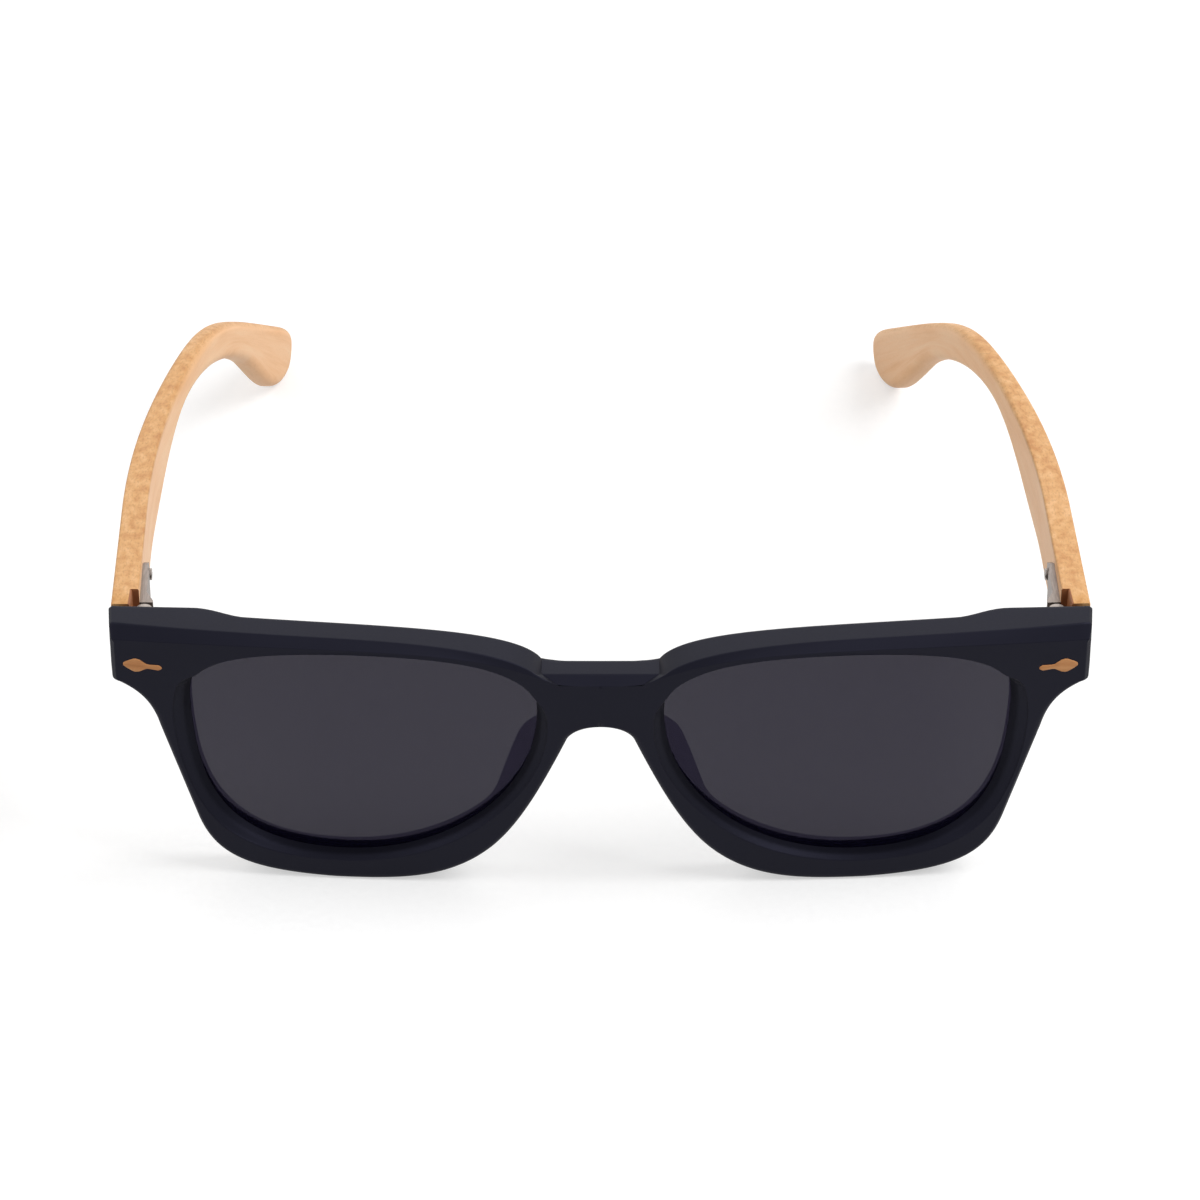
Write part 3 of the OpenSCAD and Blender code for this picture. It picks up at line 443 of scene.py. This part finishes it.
def satin_metal(name, colour, light, dull):
    """Nickel-plated steel, tumbled: light grey with a soft sheen and faint fine scratches.

    Scratches are about 0.02 mm, drawn 0.15 mm wide and 2 mm long."""
    made, tree, shader = material(name, Metallic=1.0)
    where = add(tree, "ShaderNodeTexCoord").outputs["Object"]
    turned = add(tree, "ShaderNodeMapping", [("Vector", where)], Scale=(6600, 500, 6600))
    brushed = add(tree, "ShaderNodeTexNoise", [("Vector", turned.outputs[0])],
                  Scale=1.0, Detail=3).outputs["Fac"]
    tone = add(tree, "ShaderNodeValToRGB", [("Fac", brushed)], [(0.3, colour), (0.7, light)])
    rough = add(tree, "ShaderNodeMapRange", [("Value", brushed)],
                To_Min=dull - 0.06, To_Max=dull + 0.08)
    bump = add(tree, "ShaderNodeBump", [("Height", brushed)], Strength=0.1, Distance=0.00002)
    tree.links.new(tone.outputs["Color"], shader.inputs["Base Color"])
    tree.links.new(rough.outputs["Result"], shader.inputs["Roughness"])
    tree.links.new(bump.outputs["Normal"], shader.inputs["Normal"])
    return made


NYLON = moulded_nylon()
SMOKE = smoke_lens()
BAMBOO = bamboo("clear_coated_bamboo", ("#eeb57e", "#f7c493", "#facfa3"),
                ("#c68b53", "#d7a268", "#e3b27d"), "#a9743f")
OILED = ("#b97747", "#d4935d", "#e2a974")
INLAY_WOOD = bamboo("oiled_bamboo_inlay", OILED, OILED, "#6d4222")
NICKEL = satin_metal("satin_nickel", "#7c736d", "#958b85", 0.44)
SCREW_STEEL = satin_metal("turned_screw_steel", "#857d77", "#9c938d", 0.36)
SPRING_WIRE = satin_metal("drawn_spring_wire", "#7d7a77", "#979490", 0.32)


# Front and lenses

def front_moulding():
    """Both halves of the front: rounded sections carried round each rim, joined at the bridge."""
    corners, reach, runs = half_sections(4, sink=0.05)
    section = rounded(corners, reach)
    rows, cols = section.shape[:2]
    fan = cols // corners.shape[1]
    right = seat(bend(section)).reshape(-1, 3)
    quads = lattice(rows, cols, True, True)
    # Across the middle the two halves meet, so the cells between them are left out.
    column = np.arange(cols)[None, :]
    inner_wall = (runs == MIDDLE)[:, None] & (column >= 5 * fan - 2) & (column <= 7 * fan)
    cells = quads[~inner_wall]
    points = np.concatenate([right, right * [-1, 1, 1]])
    faces = np.concatenate([cells, cells[:, ::-1] + len(right)])
    piece("front_moulding", points, faces.tolist(), "front", "front_frame", NYLON, sharp=45)


def lens_piece(side, name):
    """A lens: its outline shrunk to the centre in rings on a shallow bowl, twice, and an edge."""
    around, rings = 240, 16
    p, out = lens_edge(np.arange(around) * 4 / around)
    rim = p + out * (GROOVE - LENS_FIT)
    share = ((np.arange(rings) + 1) / rings)[:, None, None]
    flat = mix(np.array([LENS_X, LENS_Z]), rim[None], share).reshape(-1, 2)
    flat = np.concatenate([[[LENS_X, LENS_Z]], flat])
    sheets = [np.column_stack([flat, lens_depth(flat) + d]) for d in (0, LENS_T)]
    points = seat(bend(np.concatenate(sheets))) * [side, 1, 1]
    ring = lattice(rings, around, False, True).reshape(-1, 4) + 1
    first = 1 + np.arange(around)
    fan = np.column_stack([np.zeros(around, int), first, np.roll(first, -1)])
    back = len(flat)
    rim_at = 1 + (rings - 1) * around + np.arange(around)
    edge = np.column_stack([rim_at, rim_at + back, np.roll(rim_at, -1) + back, np.roll(rim_at, -1)])
    faces = [ring, ring[:, ::-1] + back, fan, fan[:, ::-1] + back, edge]
    if side > 0:
        faces = [f[:, ::-1] for f in faces]
    piece("smoke_" + name, points, sum([f.tolist() for f in faces], []), "front", name,
          SMOKE, sharp=30)


front_moulding()
lens_piece(-1, "lens_left")
lens_piece(1, "lens_right")


# Inlays

def inlay_piece(side, name):
    """A bamboo diamond with a tail: its outline drawn in by rings that rise to a low crown."""
    w, h, tail_x, tail_h = INLAY_HALF_W, INLAY_HALF_H, INLAY_TAIL, INLAY_TAIL_H
    draw_in, crown = 0.14, -0.09
    half = np.array([[w, 0], [w * 0.97, h * 0.22], [w * 0.72, h * 0.5], [w * 0.2, h * 0.94], [0, h],
                     [-w * 0.3, h * 0.9], [-w * 0.85, tail_h * 0.9], [-w * 1.1, tail_h * 0.8],
                     [-tail_x * 0.86, tail_h], [-tail_x * 0.97, tail_h * 0.5], [-tail_x, 0]])
    outline = np.concatenate([half, half[-2:0:-1] * [1, -1]])
    outline = spaced(np.concatenate([outline, outline[:1]]), 121)[:-1]
    v = np.roll(outline, -1, 0) - np.roll(outline, 1, 0)
    inward = np.stack([-v[:, 1], v[:, 0]], 1) / np.linalg.norm(v, axis=1, keepdims=True)
    spine = np.stack([np.clip(outline[:, 0], -tail_x + 0.5, w - 0.6), np.zeros(len(outline))], 1)
    levels = [(0.0, 0.4), (0.0, -0.02), (0.06, -0.07), (draw_in, crown)]
    rings = [np.column_stack([outline + inward * d, np.full(len(outline), z)]) for d, z in levels]
    rings += [np.column_stack([mix(outline + inward * draw_in, spine, f), np.full(len(outline), crown)])
              for f in (0.35, 0.7, 1.0)]
    local = np.concatenate(rings)
    c, s = math.cos(INLAY_TURN), math.sin(INLAY_TURN)
    x = HALF_W - INLAY_EDGE - INLAY_HALF_W + local[:, 0] * c - local[:, 1] * s
    height = LUG_LOW + LUG_H * INLAY_SHARE + local[:, 0] * s + local[:, 1] * c
    points = seat(bend(np.column_stack([x, height, local[:, 2]]))) * [side, 1, 1]
    faces = lattice(len(rings), len(outline), False, True).reshape(-1, 4)
    back = np.arange(len(outline))
    if side > 0:
        faces, back = faces[:, ::-1], back[::-1]
    grain = np.column_stack([local[:, 1] * 3 + 30 * side, local[:, 0] * 3, local[:, 2] + 20])
    piece("bamboo_" + name, points, faces.tolist() + [back.tolist()], "front", name,
          INLAY_WOOD, sharp=50, grain=grain)


inlay_piece(-1, "inlay_left")
inlay_piece(1, "inlay_right")


# Temples

# Top and bottom edges in the side view, from the lug to the ear tip: (y, z).
BEND_Y = TEMPLE_Y + TEMPLE_STRAIGHT
ROOT_Z = bend(np.array([HALF_W, FRONT_H, LUG_T]))[2] - LOW_Z - TEMPLE_DROP
BEND_Z = ROOT_Z - TEMPLE_FALL
WAIST_Z = BEND_Z - TEMPLE_WAIST_H
FULL_Y = TEMPLE_Y + TEMPLE_FULL
FULL_Z = ROOT_Z - TEMPLE_FALL * TEMPLE_FULL / TEMPLE_STRAIGHT - TEMPLE_ROOT_H
TIP_TOP, TIP_LOW = (TIP_Y - 6.2, TIP_TOP_Z), (TIP_Y - 4.4, 0)
TIP_MID, EAR = (TIP_Y, TIP_MID_Z), (TIP_Y - EAR_BACK, EAR_Z)
TOP_BEND = [(BEND_Y, BEND_Z), (BEND_Y + 20, BEND_Z - 1.9), (TIP_Y - 39.8, BEND_Z - 6.7), TIP_TOP]
TOP_END = [TIP_TOP, (TIP_Y - 2.9, 8.75), (TIP_Y, 7), TIP_MID]
LOW_END = [TIP_LOW, (TIP_Y - 2, 0), (TIP_Y, 1.9), TIP_MID]
LOW_TIP = [EAR, (TIP_Y - 18.9, 8.2), (TIP_Y - 12.5, 0), TIP_LOW]
LOW_BEND = [(BEND_Y, WAIST_Z), (BEND_Y + 13, WAIST_Z - 1.75), (TIP_Y - 38.2, 25.5), EAR]
LOW_WAIST = [(FULL_Y, FULL_Z), (FULL_Y + 14.5, FULL_Z + 0.9), (BEND_Y - 11, WAIST_Z + 1.2),
             (BEND_Y, WAIST_Z)]
NOTCH_Y, NOTCH_X = PIN[1] + NOTCH_BACK, PIN[0] + NOTCH_OUT


def outer_face(y):
    """Outer face in plan: a straight splay, then an arc inwards, then straight on.

    After a run s the arc has come in by R - sqrt(R^2 - s^2), and its slope is s / sqrt(R^2 - s^2)."""
    along = y - TEMPLE_Y
    s = np.clip(along - BOW_START, 0, BOW_RUN)
    arc = BOW_R - np.sqrt(BOW_R ** 2 - s * s)
    on = np.maximum(0, along - BOW_START - BOW_RUN) * BOW_RUN / math.sqrt(BOW_R ** 2 - BOW_RUN ** 2)
    return HALF_W + along * math.tan(TEMPLE_SPLAY) - arc - on


def thick(y):
    """Thickness, easing from the hinge to the ear tip."""
    return mix(TEMPLE_ROOT_T, TEMPLE_TIP_T, ease((y - TEMPLE_Y - 20) / 60))


def on_temple(spot, side):
    """Puts right-hand points on their side.

    The right temple rests slightly closed, turned about its pin."""
    c, s = (math.cos(REST_RIGHT), math.sin(REST_RIGHT)) if side > 0 else (1, 0)
    plan = (spot[:, :2] - PIN) @ np.array([[c, s], [-s, c]]) + PIN
    return (np.column_stack([plan, spot[:, 2]]) - [0, MID_Y, 0]) * [side, 1, 1]


def temple_piece(side, name, body):
    """A temple: rounded sections from its top edge to its bottom edge, carried to the ear tip.

    Each section runs round the top band, the inner rounding, the inner face, the bottom band and
    the outer face. A rounding of radius r leaves the edge by r(1 - cos a) and the band by r sin a.
    Ahead of the notch the inner side steps out to make room for the hinge."""
    t, end = np.linspace(0, 1, 65), np.linspace(0, 1, 25)
    before_notch = [TEMPLE_Y, TEMPLE_Y + 0.12, NOTCH_Y - 0.02, NOTCH_Y]
    first = np.concatenate([before_notch, np.linspace(NOTCH_Y + 0.12, FULL_Y, 30)])
    waist = cubic(LOW_WAIST, np.linspace(0, 1, 33))[1:]
    depth = np.interp(first, [TEMPLE_Y, FULL_Y], [ROOT_Z - TEMPLE_ROOT_H, FULL_Z])
    level = np.concatenate([first, waist[:, 0]])
    fall = ROOT_Z - TEMPLE_FALL * (level - TEMPLE_Y) / TEMPLE_STRAIGHT
    top = np.concatenate([np.column_stack([level, fall]), cubic(TOP_BEND, t)[1:],
                          cubic(TOP_END, end)[1:]])
    ear = spaced(np.concatenate([cubic(LOW_BEND, t)[:-1], cubic(LOW_TIP, t)]), len(t))[1:]
    low = np.concatenate([np.column_stack([first, depth]), waist, ear, cubic(LOW_END, end)[1:]])
    # A running mean of nine points takes the corners out of the bottom edge.
    soft = np.ones(9) / 9
    bulge = np.s_[20:len(level) + 20]
    low[bulge, 1] = np.convolve(np.pad(low[:, 1], 4, "edge"), soft, "valid")[bulge]

    def inward(line, sign):
        v = np.gradient(line, axis=0)
        v[np.linalg.norm(v, axis=1) < 1e-6] = (1, 0)
        v /= np.linalg.norm(v, axis=1, keepdims=True)
        return sign * np.stack([v[:, 1], -v[:, 0]], 1)

    top_in, low_in = inward(top, 1), inward(low, -1)
    top_in[-1] = low_in[-1] = (-1, 0)
    y = top[:, :1]
    notch = y < NOTCH_Y - 0.01
    rounder = ease((y - TEMPLE_Y - 45) / 45)
    r_in, r_out = mix(0.35, 1.5, rounder), mix(0.35, 1.1, rounder)
    arc = np.linspace(0, math.pi / 2, 7)[None, :]
    fill = np.linspace(0, 1, 12)[None, 1:-1]

    def edge_points(base, into, depth):
        return base[:, None, :] + into[:, None, :] * depth[..., None]

    def side_points(radius):
        a = edge_points(top, top_in, radius)
        b = edge_points(low, low_in, radius)
        return a + (b - a) * fill[..., None]

    bands = np.linspace(0, 1, 4)[None, 1:-1] * np.ones_like(y)
    d_in, d_out = r_in * (1 - np.cos(arc)), r_out * (1 - np.cos(arc))
    # Places in the side view, round the section.
    view = np.concatenate([
        edge_points(top, top_in, bands * 0), edge_points(top, top_in, d_in), side_points(r_in),
        edge_points(low, low_in, d_in[:, ::-1]), edge_points(low, low_in, bands * 0),
        edge_points(low, low_in, d_out), side_points(r_out)[:, ::-1],
        edge_points(top, top_in, d_out[:, ::-1])], 1)
    out_x = outer_face(view[..., 0])
    in_x = out_x - thick(view[..., 0])
    in_x = np.where(notch, NOTCH_X, in_x)
    wide = out_x - in_x
    n_band, n_arc, n_fill = bands.shape[1], arc.shape[1], fill.shape[1]
    cuts = np.cumsum([n_band, n_arc, n_fill, n_arc, n_band, n_arc, n_fill])
    part = np.split(wide, cuts, 1)
    step_in, step_out = r_in * (1 - np.sin(arc)), r_out * (1 - np.sin(arc))
    # Distance in from the outer face, round the section.
    across = np.concatenate([mix(r_out, part[0] - r_in, bands), part[1] - step_in, part[2],
                             part[3] - step_in[:, ::-1], mix(part[4] - r_in, r_out, bands), step_out,
                             np.zeros_like(part[6]), step_out[:, ::-1]], 1)
    x = out_x - across
    rows, cols = x.shape
    spot = np.stack([x, view[..., 0], view[..., 1]], -1)
    # The front end eases in by a tenth of a millimetre, so that its edge catches light.
    centre = spot[0].mean(0)
    spot[0] = centre + (spot[0] - centre) * [0.95, 1, 0.98]
    run = np.append(0, np.cumsum(np.linalg.norm(np.diff((top + low) / 2, axis=0), axis=1)))[:, None]
    drop = np.linalg.norm(view - top[:, None, :], axis=2)
    # The sawn faces of the notch are marked by a drop below zero. Their darker brown is partly end
    # grain and partly painted shade of the recess.
    drop[:4, n_band + 1:cuts[3]] = -1
    grain = np.stack([across + 30 * side, np.broadcast_to(run, x.shape), drop], -1).reshape(-1, 3)
    points = on_temple(spot.reshape(-1, 3), side)
    faces = lattice(rows, cols, False, True).reshape(-1, 4)
    cap = np.arange(cols)
    if side < 0:
        faces, cap = faces[:, ::-1], cap[::-1]
    piece("bamboo_" + name, points, faces.tolist() + [cap.tolist()], body, name,
          BAMBOO, sharp=45, grain=grain)


temple_piece(-1, "temple_left", "left_temple")
temple_piece(1, "temple_right", "right_temple")


# Metal of the hinges: the solids themselves, their edges broken

def dress(node, finish, width):
    """Joins the solid's loose triangles and breaks its sharp edges by a small bevel, in millimetres."""
    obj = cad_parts[node]
    weld = obj.modifiers.new("joined", "WELD")
    weld.merge_threshold = 2e-6
    edge = obj.modifiers.new("broken_edge", "BEVEL")
    edge.width, edge.segments = width / 1000, 3
    edge.limit_method, edge.angle_limit = "ANGLE", math.radians(40)
    obj.data.materials.clear()
    obj.data.materials.append(finish)


for hand in ("left", "right"):
    dress("spring_housing_" + hand, NICKEL, 0.12)
    dress("hinge_leaf_" + hand, NICKEL, 0.08)
    dress("spring_carriage_" + hand, NICKEL, 0.06)
    dress("spring_stop_" + hand, NICKEL, 0.06)
    dress("hinge_screw_" + hand, SCREW_STEEL, 0.06)
    dress("housing_screw_" + hand, SCREW_STEEL, 0.06)


def coil_spring(side, hand):
    """The spring round the rod: a wire circle carried along a helix.

    At angle a the circle's middle is at coil radius times cos a and sin a, and a pitch further on
    each turn."""
    turns, length, travel = 6, 6.15, 1.2
    wire, coil = 0.175, 0.875
    rings, sides = 24, 10
    pitch = (length - 2 * wire) / turns
    turn, around = np.meshgrid(np.arange(turns * rings + 1) / rings, np.arange(sides) / sides,
                               indexing="ij")
    a, b = 2 * math.pi * turn, 2 * math.pi * around
    reach = coil + wire * np.cos(b)
    front = np.array([PIN[0] + ROD_OUT, PIN[1] + SPRING_START, PIN_Z])
    helix = np.stack([reach * np.cos(a), wire + pitch * turn + wire * np.sin(b), reach * np.sin(a)], -1)
    points = on_temple((front + helix).reshape(-1, 3), side)
    skin = lattice(*turn.shape, False, True).reshape(-1, 4)
    ends = np.stack([np.arange(sides), turn.size - 1 - np.arange(sides)])
    if side > 0:
        skin, ends = skin[:, ::-1], ends[:, ::-1]
    obj = piece("wound_spring_" + hand, points, skin.tolist() + ends.tolist(), hand + "_temple",
                "flex_spring_" + hand, SPRING_WIRE, sharp=60)
    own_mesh(obj)


coil_spring(-1, "left")
coil_spring(1, "right")


# Floor, light and camera

def seen_ray(tree):
    """1 for rays from the camera, from a gloss or through glass, or else 0: the largest of three."""
    path = add(tree, "ShaderNodeLightPath").outputs
    pair = add(tree, "ShaderNodeMath", [(0, path["Is Camera Ray"]), (1, path["Is Glossy Ray"])],
               operation="MAXIMUM")
    return add(tree, "ShaderNodeMath", [(0, pair.outputs[0]), (1, path["Is Transmission Ray"])],
               operation="MAXIMUM").outputs[0]


def paper_floor():
    """Seamless white paper: pale and dull, lifted to white for the camera, keeping the shadow.

    The lift grows from 0.4 m to 1.5 m away, where the lamps no longer reach."""
    made, tree, shader = material("seamless_paper", Roughness=0.9, Specular_IOR_Level=0.1,
                                  Emission_Color=(1, 1, 1, 1))
    where = add(tree, "ShaderNodeTexCoord").outputs["Object"]
    fibre = add(tree, "ShaderNodeTexNoise", [("Vector", where)], Scale=900, Detail=2).outputs["Fac"]
    pale = add(tree, "ShaderNodeValToRGB", [("Fac", fibre)], [(0.3, "#c2c2c2"), (0.7, "#c8c8c8")])
    away = add(tree, "ShaderNodeVectorMath", [(0, where)], operation="LENGTH").outputs["Value"]
    level = add(tree, "ShaderNodeMapRange", [("Value", away)], From_Min=0.4, From_Max=1.5,
                To_Min=0.52, To_Max=1.0)
    lift = add(tree, "ShaderNodeMath", [(0, seen_ray(tree)), (1, level.outputs["Result"])],
               operation="MULTIPLY")
    tree.links.new(pale.outputs["Color"], shader.inputs["Base Color"])
    tree.links.new(lift.outputs[0], shader.inputs["Emission Strength"])
    side = 3.0
    mesh = bpy.data.meshes.new("floor")
    mesh.from_pydata([(-side, -side, 0), (side, -side, 0), (side, side, 0), (-side, side, 0)],
                     [], [(0, 1, 2, 3)])
    mesh.materials.append(made)
    obj = bpy.data.objects.new("floor", mesh)
    bpy.context.scene.collection.objects.link(obj)


def lamp(name, place, size, watts):
    """A square softbox aimed at the middle of the object."""
    data = bpy.data.lights.new(name, "AREA")
    data.shape, data.size, data.energy = "SQUARE", size, watts
    obj = bpy.data.objects.new(name, data)
    obj.location = place
    toward = np.array([0, -0.01, 0.02]) - np.array(place)
    pitch = math.acos(-toward[2] / np.linalg.norm(toward))
    obj.rotation_euler = (pitch, 0, math.atan2(toward[1], toward[0]) - math.pi / 2)
    bpy.context.scene.collection.objects.link(obj)


def sky():
    """Even white surroundings, dimmed to 0.28 as a light on dull surfaces."""
    world = bpy.data.worlds.new("studio")
    bpy.context.scene.world = world
    world.use_nodes = True
    tree = world.node_tree
    tree.nodes.clear()
    level = add(tree, "ShaderNodeMapRange", [("Value", seen_ray(tree))], To_Min=0.28, To_Max=1.0)
    back = add(tree, "ShaderNodeBackground", [("Strength", level.outputs["Result"])],
               Color=(1, 1, 1, 1))
    add(tree, "ShaderNodeOutputWorld", [("Surface", back.outputs[0])])


def photo_camera():
    """A long lens, 0.8 m off and 34.4 degrees above the table, square to the front.

    The focal length and the shift are in pixels of a picture 1200 wide."""
    picture, sensor, focal, shift = 1200, 36, 5107.8, -0.5
    distance, rise, aim_y, aim_z = 0.8, math.radians(34.4), 45.26, 21.26
    data = bpy.data.cameras.new("camera")
    data.sensor_width, data.lens = sensor, focal / picture * sensor
    data.shift_x = shift / picture
    data.clip_start, data.clip_end = 0.01, 20
    obj = bpy.data.objects.new("camera", data)
    aim = np.array([0, aim_y - MID_Y, aim_z - LOW_Z]) / 1000
    obj.location = aim + distance * np.array([0, -math.cos(rise), math.sin(rise)])
    obj.rotation_euler = (math.pi / 2 - rise, 0, 0)
    bpy.context.scene.collection.objects.link(obj)
    bpy.context.scene.camera = obj


paper_floor()
sky()
lamp("key_softbox", (0.8, -0.2, 1.0), 0.8, 12.5)
lamp("fill_softbox", (-0.9, -0.2, 0.8), 0.8, 4.5)
lamp("back_softbox", (0.0, 1.2, 0.8), 1.2, 5)
photo_camera()
bpy.context.scene.view_settings.view_transform = "Standard"
